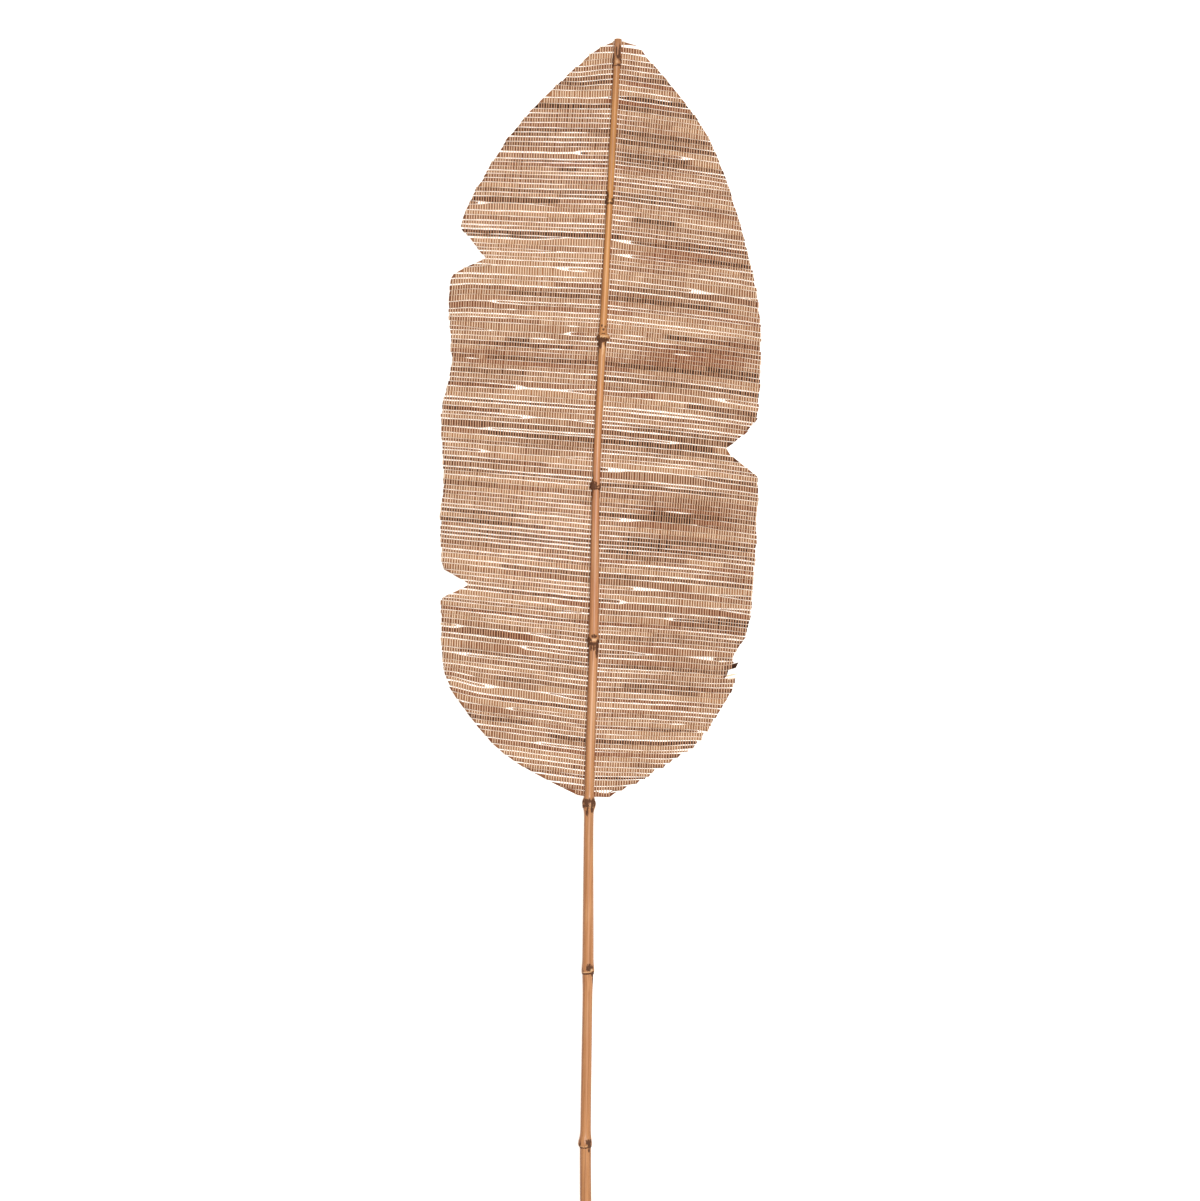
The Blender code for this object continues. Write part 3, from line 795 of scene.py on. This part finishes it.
def glue_finish(colours):
    finish = Finish("set glue", IOR=1.5, Subsurface_Weight=0.3)
    place = finish.place()
    cloudy = place.noise(300.0, 2.0, 0.5)
    base = cloudy.ramp([(0.3, colours.glue_dark), (0.7, colours.glue_pale)])
    finish.set("Base Color", base)
    finish.set("Roughness", 0.25 + cloudy * 0.2)
    finish.bump(cloudy, 0.3, 0.0005)
    return finish.material


def strip_rings(weave, row, start, stop, thickness):
    """Rings of one piece of strip: six points round its flat section at each place across."""
    blunt_start, blunt_stop = start is None, stop is None
    ends = weave.ends[row]
    shares = STRIP_SHARES
    lift = STRIP_LIFT * thickness
    first = ends[0, 0] * (1 - shares) + ends[1, 0] * shares if blunt_start else np.full(6, start)
    last = ends[0, 1] * (1 - shares) + ends[1, 1] * shares if blunt_stop else np.full(6, stop)
    length = float(np.mean(last - first))
    inner = np.linspace(0.0, 1.0, max(3, int(length / RING_STEP) + 1))
    near = [] if blunt_start else [1.0 / length, 3.0 / length]
    far = [] if blunt_stop else [1 - 3.0 / length, 1 - 1.0 / length]
    steps = np.unique(np.concatenate([inner, near, far]))
    across = first + (last - first) * steps[:, None]
    upper = np.interp(across, weave.across, weave.upper[row])
    lower = np.interp(across, weave.across, weave.lower[row])
    middle, half = (upper + lower) / 2, (upper - lower) / 2
    taper = np.ones_like(steps)
    for blunt, from_end in ((blunt_start, steps), (blunt_stop, 1 - steps)):
        if not blunt:
            rounding = np.sqrt(np.clip(from_end * length / TIP_LENGTH, 0.0, 1.0))
            taper = np.minimum(taper, TIP_SHARE + (1 - TIP_SHARE) * rounding)
    along = middle + half * (1 - 2 * shares) * taper[:, None]
    height = mat_height(across, along) + lift
    rings = np.stack([across, along, height], axis=-1)
    centre = across.mean(axis=1)
    tone = np.interp(centre, weave.across, weave.tone[row])
    red = np.interp(centre, weave.across, weave.red[row])
    return rings, centre, tone, red


def build_strips(weave, sizes, material):
    shape = Shape(6)
    width = GRID_TO - GRID_FROM
    for row in range(weave.count):
        low = row / weave.count
        for start, stop in weave.pieces(row):
            rings, centre, tone, red = strip_rings(weave, row, start, stop, sizes.strip_thickness / MM)
            if centre[-1] - centre[0] < 2.0:
                continue
            shape.add(rings, {"tone": tone, "red": red, "rim": STRIP_EDGE_HIGHLIGHT}, (centre - GRID_FROM) / width,
                      (low, low + 0.94 / weave.count))
    return shape.build("hyacinth_strips", material)


def one_after_another(*columns):
    """Values in the gap before each strip and at its two edges, in the order of the thread."""
    return np.stack(columns, axis=1).ravel()


def thread_run(weave, across, rows, sign, sizes):
    """Path of one thread over and under a run of strips: places, heights, widths and tones."""
    place = across[rows]
    upper = np.array([np.interp(x, weave.across, weave.upper[row]) for x, row in zip(place, rows)])
    lower = np.array([np.interp(x, weave.across, weave.lower[row]) for x, row in zip(place, rows)])
    side = sign * np.where(np.arange(len(rows)) % 2 == 0, 1.0, -1.0)
    gap = np.concatenate([upper[:1] + THREAD_TAIL, (lower[:-1] + upper[1:]) / 2])
    over = (MAT_THICKNESS - sizes.thread_width / MM * sizes.thread_flatness) / 2
    along = one_after_another(gap, upper * 0.9 + lower * 0.1, upper * 0.1 + lower * 0.9)
    height = one_after_another(0 * side, side, side) * over
    width = np.tile([sizes.thread_waist, 1.0, 1.0], len(rows))
    sideways = one_after_another(np.full_like(side, sign), side, side) * THREAD_SIDESTEP
    cover = weave.tone - THREAD_STAIN * np.clip(weave.red - STAIN_FROM, 0.0, 1.0)
    under = np.array([np.interp(x, weave.across, cover[row]) for x, row in zip(place, rows)])
    tone = one_after_another(np.ones_like(under), under, under)
    return np.repeat(place, 3) + sideways, along, height, width, tone


def thread_lines(sizes):
    """Places across of the warp threads, level with the middle of the leaf."""
    first, last = THREADS_BETWEEN
    pitch = sizes.thread_pitch / MM
    return first + pitch * np.arange(int((last - first) / pitch))


def build_threads(weave, group, lines, sizes, material):
    shape = Shape(4)
    rng = np.random.default_rng(1000 * group + sizes.seed)
    middles = weave.middle[:, len(weave.across) // 2]
    reach = sizes.thread_width / MM / 2
    flat = reach * sizes.thread_flatness
    section = np.array([(reach, 0.0, 0.0), (0.0, 0.0, flat), (-reach, 0.0, 0.0), (0.0, 0.0, -flat)])
    for number, line in enumerate(lines):
        sway = 0.25 * waves(rng, 1, middles, (240.0, 110.0))[0]
        across = line + sizes.thread_lean * (middles - THREAD_LEAN_FROM) + sway + rng.normal(0.0, 0.12)
        low = (weave.ends[:, :, 0].mean(axis=1) + weave.ends[:, :, 0].max(axis=1)) / 2 + THREAD_INSET
        high = (weave.ends[:, :, 1].mean(axis=1) + weave.ends[:, :, 1].min(axis=1)) / 2 - THREAD_INSET
        held = np.flatnonzero((across > low) & (across < high))
        if len(held) == 0:
            continue
        for rows in np.split(held, np.flatnonzero(np.diff(held) > 1) + 1):
            rows = np.array([row for row in rows if weave.is_there(row, across[row])])
            if len(rows) < 2:
                continue
            for sign in (1, -1):
                place, along, height, width, tone = thread_run(weave, across, rows, sign, sizes)
                centre = np.stack([place, along, mat_height(place, along) + height], axis=-1)
                rings = centre[:, None, :] + section[None, :, :] * width[:, None, None]
                band = (number + (0.0 if sign > 0 else 0.5)) / len(lines)
                shape.add(rings, {"tone": tone}, (along - WEAVE_FOOT) / (WEAVE_TOP - WEAVE_FOOT),
                          (band, band + 0.42 / len(lines)))
    return shape.build(f"warp_threads_{group}", material)


def foot_height(along):
    """Height of the undersides of the nodes: on the mat, and down to the surface at the stem."""
    return (MAT_THICKNESS + TOUCH_GAP) * smooth_step(*STEM_SLOPE, along)


def cane_reach(along, angle):
    """Distance of the cane's skin from its axis, on grids of places along and angles."""
    radius = cane_radius(along)
    side, up = np.cos(angle), np.sin(angle)
    reach = radius * (1 + 0.006 * np.sin(9 * angle + along / 60) + 0.004 * np.sin(5 * angle))
    for place, left, right, above, below in NODES:
        length = np.where(along > place, above, below)
        swell = np.exp(-((along - place) / length) ** 2)
        sideways = np.where(side > 0, right, left) - cane_radius(place)
        upright = np.where(up < 0, np.minimum(NODE_FOOT, sideways), NODE_TOP_SHARE * sideways)
        reach = reach + swell * (sideways * side ** 2 + upright * up ** 2)
        wander = 0.5 * np.sin(2 * angle + place)
        for below_node, half_width, height in (NODE_RIDGE, NODE_GROOVE):
            away = (along - place + below_node + wander) / half_width
            reach = reach + height * np.exp(-away ** 2)
    for place, across, size, height in BUDS:
        gap = np.hypot(along - place, radius * side - across) / size
        reach = reach + np.where(up > 0, height * np.exp(-gap ** 2), 0.0)
        reach = reach - np.where(up > 0, 0.5 * height * np.exp(-(gap / 0.35) ** 2), 0.0)
    return reach


def mark_value(along, angle, dark):
    """Strength of the scars, or of the pale chips, lips and the painted highlight streak below node 2, at
    places on the skin.
    """
    radius = cane_reach(along, angle)
    around = radius * np.cos(angle)
    on_top = np.sin(angle) > -0.1
    value = np.zeros_like(along)
    spread = SCAR_SPREAD if dark else 1.0
    for node, across, offset, half_width, half_length, depth in MARKS:
        if (depth > 0) != dark:
            continue
        away = ((around - across) / (half_width * spread)) ** 2
        away = away + ((along - NODES[node][0] - offset) / (half_length * spread)) ** 2
        value = np.maximum(value, np.where(on_top, abs(depth) * np.exp(-away), 0.0))
    for node, offset, half_width, depth in RINGS:
        if (depth > 0) != dark:
            continue
        place = NODES[node][0] + offset + 0.5 * np.sin(2 * angle + node)
        value = np.maximum(value, abs(depth) * np.exp(-((along - place) / half_width) ** 2))
    return value


def under_marks(along, angle):
    """A broken dark ring round the underside of each node."""
    value = np.zeros_like(along)
    for place, *_ in NODES[1:]:
        wander = 0.8 * np.sin(3 * angle + place)
        ring = np.exp(-((along - place + 2.0 + wander) / 1.4) ** 2)
        value = np.maximum(value, ring * 0.7 * smooth_step(0.1, -0.4, np.sin(angle)))
    return value


def cane_places():
    """Places along of the rings of the cane's mesh, closer together at the nodes."""
    places = [np.arange(-CANE_HALF_LENGTH, CANE_HALF_LENGTH + 1, CANE_RING_STEP)]
    for place, *_ in NODES:
        places.append(np.arange(place - NODE_RING_REACH, place + NODE_RING_REACH, NODE_RING_STEP))
    joined = np.unique(np.round(np.concatenate(places), 2))
    joined = joined[np.concatenate([[True], np.diff(joined) > 0.3])]
    return joined[(joined > -CANE_HALF_LENGTH + 1.0) & (joined < CANE_HALF_LENGTH - 1.2)]


def build_cane(sizes, material):
    top, foot = CANE_HALF_LENGTH, -CANE_HALF_LENGTH
    inner = cane_places()
    along = np.concatenate([[foot + PITH_DEPTH, foot, foot, foot + 0.5], inner, [top - 0.8, top]])
    angle = np.arange(sizes.cane_sides) / sizes.cane_sides * 2 * math.pi
    along_grid, angle_grid = np.meshgrid(along, angle, indexing="ij")
    reach = cane_reach(along_grid, angle_grid)
    reach[:2] = PITH_RADIUS
    reach[2] -= 0.4
    reach[-1] -= 0.6
    height = foot_height(along) + NODE_FOOT + cane_radius(along)
    rings = np.stack([cane_across(along)[:, None] + reach * np.cos(angle_grid), along_grid,
                      height[:, None] + reach * np.sin(angle_grid)], axis=-1)
    rings = rings[:, ::-1]
    shape = Shape(sizes.cane_sides)
    shape.add(rings, {}, (along + CANE_HALF_LENGTH) / (2 * CANE_HALF_LENGTH), (0.0, 1.0))
    scar = np.maximum(mark_value(along_grid, angle_grid, dark=True), under_marks(along_grid, angle_grid))
    pale = mark_value(along_grid, angle_grid, dark=False)
    sawn = np.zeros_like(along_grid)
    sawn[:3] = 1.0
    sawn[-1] = 1.0
    # Painted shade on the cane's flanks, strong on the left and weaker on the right, where the round cane
    # turns away from the light.
    left_flank_shade = smooth_step(0.35, 1.0, -np.cos(angle_grid))
    right_flank_shade = 0.55 * smooth_step(0.6, 1.0, np.cos(angle_grid))
    flank = np.maximum(left_flank_shade, right_flank_shade)
    for name, value in (("scar", scar), ("pale", pale), ("sawn", sawn), ("flank", flank)):
        shape.values[name] = [value[:, ::-1].ravel()]
    return shape.build("bamboo_cane_skin", material)


def build_strand(shape, route, radii, tone, bleached):
    """A loose strand along a route of places across and along, as thick as its radii say."""
    route = np.array(route, float)
    steps = np.linspace(0, len(route) - 1, 6 * len(route))
    knots = np.arange(len(route))
    across = smooth_curve(list(zip(knots, route[:, 0])))(steps)
    along = smooth_curve(list(zip(knots, route[:, 1])))(steps)
    thick = np.interp(steps, np.linspace(0, len(route) - 1, len(radii)), radii)
    heading = np.arctan2(np.gradient(along), np.gradient(across))
    turn = np.arange(6) / 6 * 2 * math.pi
    height = mat_height(across, along)
    rings = np.stack([
        across[:, None] - np.sin(heading)[:, None] * np.cos(turn) * thick[:, None],
        along[:, None] + np.cos(heading)[:, None] * np.cos(turn) * thick[:, None],
        height[:, None] + 0.6 * np.sin(turn) * thick[:, None]], axis=-1)
    values = {"tone": np.full(len(steps), tone), "red": np.zeros(len(steps)),
              "rim": np.full(len(steps), bleached)}
    shape.add(rings, values, steps / steps[-1], (0.0, 1.0))


def count_property(name, description, default, least=0):
    return bpy.props.IntProperty(name=name, description=description, default=default, min=least)


def length_property(name, description, default):
    return bpy.props.FloatProperty(name=name, description=description, default=default, min=0.0,
                                   subtype="DISTANCE", unit="LENGTH", precision=5)


def share_property(name, description, default):
    return bpy.props.FloatProperty(name=name, description=description, default=default,
                                   min=0.0, max=1.0, subtype="FACTOR")


def strength_property(name, description, default, unit="NONE"):
    return bpy.props.FloatProperty(name=name, description=description, default=default, min=0.0,
                                   unit=unit)


class LeafSizes(bpy.types.PropertyGroup):
    strip_count: count_property("Strips", "Number of strips from the tip to the stem", 158, 20)
    strip_thickness: length_property("Strip thickness", "Thickness of a strip", 0.0008)
    gap_width: length_property("Gap", "Usual gap between strips", 0.00112)
    short_strips: count_property("Short strips", "Number of strips that end inside the mat", 24)
    small_openings: count_property("Small openings", "Number of places where two strips part", 40)
    end_spread: length_property("Ragged ends", "How far strip ends miss the outline", 0.0008)
    thread_pitch: length_property("Thread spacing", "Distance between warp threads", 0.0032)
    thread_width: length_property("Thread width", "Width of a warp thread", 0.00162)
    thread_waist: share_property("Thread waist", "Share of its width where two threads cross", 0.32)
    thread_flatness: share_property("Thread flatness", "Height as a share of its width", 0.4)
    thread_lean: share_property("Thread lean", "How far the threads lean, as a slope", 0.065)
    cane_sides: count_property("Cane sides", "Number of faces round the cane", 56, 12)
    seed: count_property("Seed", "Chooses the random pattern", 11)


def colour_property(name, description, default):
    return bpy.props.FloatVectorProperty(name=name, description=description, subtype="COLOR",
                                         default=(*default, 1.0), size=4, min=0.0, max=1.0)


class LeafColours(bpy.types.PropertyGroup):
    straw_light: colour_property("Light straw", "Colour of the lightest strips", (0.40, 0.190, 0.092))
    straw_mid: colour_property("Middle straw", "Colour of most strips", (0.225, 0.089, 0.041))
    straw_red: colour_property("Red straw", "Colour of the reddish strips", (0.205, 0.062, 0.029))
    straw_dark: colour_property("Dark straw", "Colour of the darkest strips", (0.026, 0.011, 0.008))
    thread: colour_property("Thread", "Colour of the warp threads", (0.96, 0.705, 0.49))
    thread_worn: colour_property("Worn thread", "Colour of threads over dark strips", (0.60, 0.33, 0.195))
    cane_tip: colour_property("Cane tip", "Colour of the upper cane", (0.62, 0.29, 0.09))
    cane_middle: colour_property("Cane middle", "Colour of the middle of the cane", (0.58, 0.255, 0.115))
    cane_foot: colour_property("Cane foot", "Colour of the stem", (0.55, 0.25, 0.10))
    cane_rust: colour_property("Cane rust", "Colour of the weathered top", (0.43, 0.20, 0.09))
    # Besides the darker fibres, this colour paints the shade on the cane's flanks.
    cane_streak_and_shade: colour_property("Cane streaks", "Colour of the darker fibres", (0.27, 0.095, 0.032))
    cane_bright: colour_property("Cane pale", "Colour of pale fibres and lips", (0.80, 0.50, 0.26))
    scar: colour_property("Scar", "Colour of scars and node rings", (0.075, 0.027, 0.012))
    glue_dark: colour_property("Dark glue", "Colour of the glue where it is thick", (0.62, 0.44, 0.20))
    glue_pale: colour_property("Pale glue", "Colour of the glue where it is thin", (0.80, 0.66, 0.40))


class LeafStage(bpy.types.PropertyGroup):
    floor: colour_property("Floor", "Colour of the floor", (0.5, 0.5, 0.5))
    floor_light: colour_property("Floor light", "Colour of the floor's light", (1.0, 0.93, 0.85))
    floor_glow: strength_property("Floor glow", "Light given off by the floor", 0.85)
    key_watts: strength_property("Key light", "Power of the key light", 184.0, "POWER")
    key_size: length_property("Key size", "Side of the square key light", 0.9)
    sky: strength_property("Sky", "Strength of the even light from all round", 0.35)
    distance: length_property("Camera distance", "Height of the camera over the leaf", 3.6)


class LEAF_OT_strips(bpy.types.Operator):
    """Lay the hyacinth strips of the mat"""

    bl_idname = "leaf.strips"
    bl_label = "Strips"

    def execute(self, context):
        scene = context.scene
        weave = Weave(scene.leaf_sizes)
        piece = build_strips(weave, scene.leaf_sizes, straw_finish(scene.leaf_colours))
        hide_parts("woven_mat")
        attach(piece, BODY)
        return {"FINISHED"}


class LEAF_OT_threads(bpy.types.Operator):
    """Twine the warp threads over and under the strips"""

    bl_idname = "leaf.threads"
    bl_label = "Warp threads"

    def execute(self, context):
        scene = context.scene
        weave = Weave(scene.leaf_sizes)
        material = thread_finish(scene.leaf_colours)
        parts = np.array_split(thread_lines(scene.leaf_sizes), THREAD_GROUPS)
        for group, lines in enumerate(parts, start=1):
            piece = build_threads(weave, group, lines, scene.leaf_sizes, material)
            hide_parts("woven_mat")
            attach(piece, BODY)
        return {"FINISHED"}


class LEAF_OT_strands(bpy.types.Operator):
    """Add the loose strand at the stem and the torn fibres in the right-hand notch"""

    bl_idname = "leaf.strands"
    bl_label = "Loose strands"

    def execute(self, context):
        scene = context.scene
        shape = Shape(6)
        for route, radii, tone, bleached in LOOSE_STRANDS:
            build_strand(shape, route, radii, tone, bleached)
        piece = shape.build("loose_strands", straw_finish(scene.leaf_colours))
        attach(piece, BODY)
        return {"FINISHED"}


class LEAF_OT_cane(bpy.types.Operator):
    """Grow the bamboo cane with its nodes, buds and scars"""

    bl_idname = "leaf.cane"
    bl_label = "Bamboo cane"

    def execute(self, context):
        scene = context.scene
        piece = build_cane(scene.leaf_sizes, bamboo_finish(scene.leaf_colours))
        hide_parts("bamboo_cane")
        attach(piece, BODY)
        return {"FINISHED"}


class LEAF_OT_glue(bpy.types.Operator):
    """Finish the dabs of glue under the cane"""

    bl_idname = "leaf.glue"
    bl_label = "Glue"

    def execute(self, context):
        material = glue_finish(context.scene.leaf_colours)
        dabs = [node for name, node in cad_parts.items() if name.startswith("glue_dab")]
        if not dabs:
            raise RuntimeError("the leaf has no glue dabs")
        for dab in dabs:
            for material_slot in dab.material_slots:
                material_slot.material = material
        return {"FINISHED"}


class LEAF_OT_stage(bpy.types.Operator):
    """Set the floor, the lights and the camera that looks straight down"""

    bl_idname = "leaf.stage"
    bl_label = "Stage"

    def execute(self, context):
        scene = context.scene
        stage = scene.leaf_stage
        floor_mesh = bpy.data.meshes.new("floor")
        corners = [(-1, -1), (1, -1), (1, 1), (-1, 1)]
        floor_mesh.from_pydata([(x * FLOOR_REACH, y * FLOOR_REACH, FLOOR_LEVEL) for x, y in corners],
                               [], [(0, 1, 2, 3)])
        floor = bpy.data.objects.new("floor", floor_mesh)
        scene.collection.objects.link(floor)
        paper = Finish("floor", Base_Color=stage.floor, Roughness=0.9,
                       Emission_Color=stage.floor_light, Emission_Strength=stage.floor_glow)
        floor_mesh.materials.append(paper.material)
        key = bpy.data.objects.new("key", bpy.data.lights.new("key", "AREA"))
        key.data.shape = "SQUARE"
        key.data.size = stage.key_size
        key.data.energy = stage.key_watts
        key.location = KEY_PLACE
        key.rotation_euler = Vector(KEY_DIRECTION).to_track_quat("-Z", "Y").to_euler()
        scene.collection.objects.link(key)
        world = bpy.data.worlds.new("studio")
        world.use_nodes = True
        sky = world.node_tree.nodes["Background"]
        sky.inputs["Color"].default_value = (1.0, 1.0, 1.0, 1.0)
        sky.inputs["Strength"].default_value = stage.sky
        scene.world = world
        scene.view_settings.view_transform = "Standard"
        self.place_camera(scene, stage.distance)
        return {"FINISHED"}

    def place_camera(self, scene, distance):
        """The picture just holds the leaf and all but the foot of the cane."""
        camera = bpy.data.objects.new("camera", bpy.data.cameras.new("camera"))
        camera.data.sensor_width = SENSOR
        camera.data.lens = SENSOR * distance / (PICTURE_HEIGHT * PIXEL * MM)
        camera.location = (PICTURE_MIDDLE[0] * MM, PICTURE_MIDDLE[1] * MM, distance)
        camera.rotation_euler = (0.0, 0.0, math.radians(PICTURE_TURN))
        scene.collection.objects.link(camera)
        scene.camera = camera


class LEAF_PT_panel(bpy.types.Panel):
    """Steps that build the leaf, in order"""

    bl_idname = "LEAF_PT_panel"
    bl_label = "Woven hyacinth leaf"
    bl_space_type = "VIEW_3D"
    bl_region_type = "UI"
    bl_category = "Leaf"

    def draw(self, context):
        for group in (context.scene.leaf_sizes, context.scene.leaf_colours, context.scene.leaf_stage):
            for name in group.__annotations__:
                self.layout.prop(group, name)
        for operator in OPERATORS:
            self.layout.operator(operator.bl_idname)


OPERATORS = (LEAF_OT_strips, LEAF_OT_threads, LEAF_OT_strands, LEAF_OT_cane, LEAF_OT_glue, LEAF_OT_stage)
CLASSES = (LeafSizes, LeafColours, LeafStage, *OPERATORS, LEAF_PT_panel)


def register():
    for one in CLASSES:
        bpy.utils.register_class(one)
    bpy.types.Scene.leaf_sizes = bpy.props.PointerProperty(type=LeafSizes)
    bpy.types.Scene.leaf_colours = bpy.props.PointerProperty(type=LeafColours)
    bpy.types.Scene.leaf_stage = bpy.props.PointerProperty(type=LeafStage)


def unregister():
    del bpy.types.Scene.leaf_stage
    del bpy.types.Scene.leaf_colours
    del bpy.types.Scene.leaf_sizes
    for one in reversed(CLASSES):
        bpy.utils.unregister_class(one)


def main():
    register()
    bpy.ops.leaf.strips()
    bpy.ops.leaf.threads()
    bpy.ops.leaf.strands()
    bpy.ops.leaf.cane()
    bpy.ops.leaf.glue()
    bpy.ops.leaf.stage()


if __name__ == "__main__":
    main()
